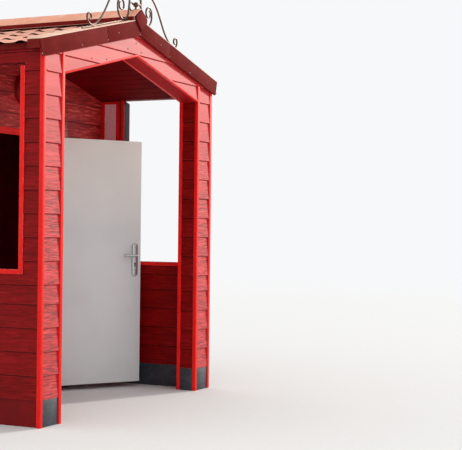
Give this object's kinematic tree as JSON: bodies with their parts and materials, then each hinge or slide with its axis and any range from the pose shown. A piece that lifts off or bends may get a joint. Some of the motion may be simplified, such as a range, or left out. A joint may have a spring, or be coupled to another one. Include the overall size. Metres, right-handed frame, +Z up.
{
  "type": "beach hut",
  "caption": "Timber beach hut with a clad cabin, an open porch behind a pointed-arch front, a tile-effect pitched roof, a wrought cresting and a hinged door.",
  "frame": {"origin": "middle of the footprint's bounding box, on the ground", "axes": "+X along the front to the right as seen from outside, +Y from the porch front into the hut, +Z up"},
  "size_m": [2.556, 3.106, 3.0818],
  "materials": {
    "red_boards": "painted lapped boards with embossed grain",
    "red_trim": "gloss painted timber trim",
    "flat_panel": "smooth painted panel",
    "plinth": "dark painted plinth board",
    "brown_trim": "painted barge board",
    "ceiling_boards": "painted ceiling boards",
    "bare_timber": "sawn softwood",
    "tile_sheet": "tile-effect coated sheet",
    "flashing": "coated sheet metal",
    "wrought_iron": "dark painted wrought iron",
    "door_white": "smooth white painted leaf",
    "hinge_steel": "satin steel",
    "handle_steel": "satin steel",
    "lamp_metal": "dark painted metal",
    "lamp_lens": "opal lens"
  },
  "bodies": {
    "hut": {"pier_left": "red_boards", "pier_right": "red_boards", "pier_trims_left": "red_trim", "pier_trims_right": "red_trim", "plinth_left": "plinth", "plinth_right": "plinth", "gable_left": "red_boards", "gable_right": "red_boards", "arch_strip": "red_trim", "arch_lining": "red_trim", "dado_left": "red_boards", "dado_right": "red_boards", "window_frame_left": "red_trim", "window_frame_right": "red_trim", "porch_panel_left": "flat_panel", "porch_panel_right": "flat_panel", "eaves_beam_left": "red_boards", "eaves_beam_right": "red_boards", "side_wall_left": "red_boards", "side_wall_right": "red_boards", "back_wall": "red_boards", "back_trims": "red_trim", "door_wall_left": "red_boards", "door_wall_right": "red_boards", "door_wall_head": "red_boards", "door_frame": "red_trim", "frame_hinges": "hinge_steel", "cabin_floor": "bare_timber", "ceiling": "ceiling_boards", "rafters": "bare_timber", "roof_deck_left": "bare_timber", "roof_deck_right": "bare_timber", "roof_sheet_left": "tile_sheet", "roof_sheet_right": "tile_sheet", "ridge_batten": "bare_timber", "ridge_cap": "flashing", "ridge_ends": "brown_trim", "verge_flashings": "flashing", "barge_front": "brown_trim", "barge_back": "brown_trim", "eaves_fascias": "brown_trim", "crest": "wrought_iron", "lamp_base": "lamp_metal", "lamp_lens": "lamp_lens"},
    "door": {"door_leaf": "door_white", "leaf_hinges": "hinge_steel", "handle_plates": "handle_steel", "levers": "handle_steel"}
  },
  "joints": [
    {"name": "door_hinge", "type": "hinge", "parent": "hut", "child": "door", "pos_m": [0.3835, -0.5375, 1], "axis": [0, 0, 1], "range_deg": [-148, 14]}
  ]
}
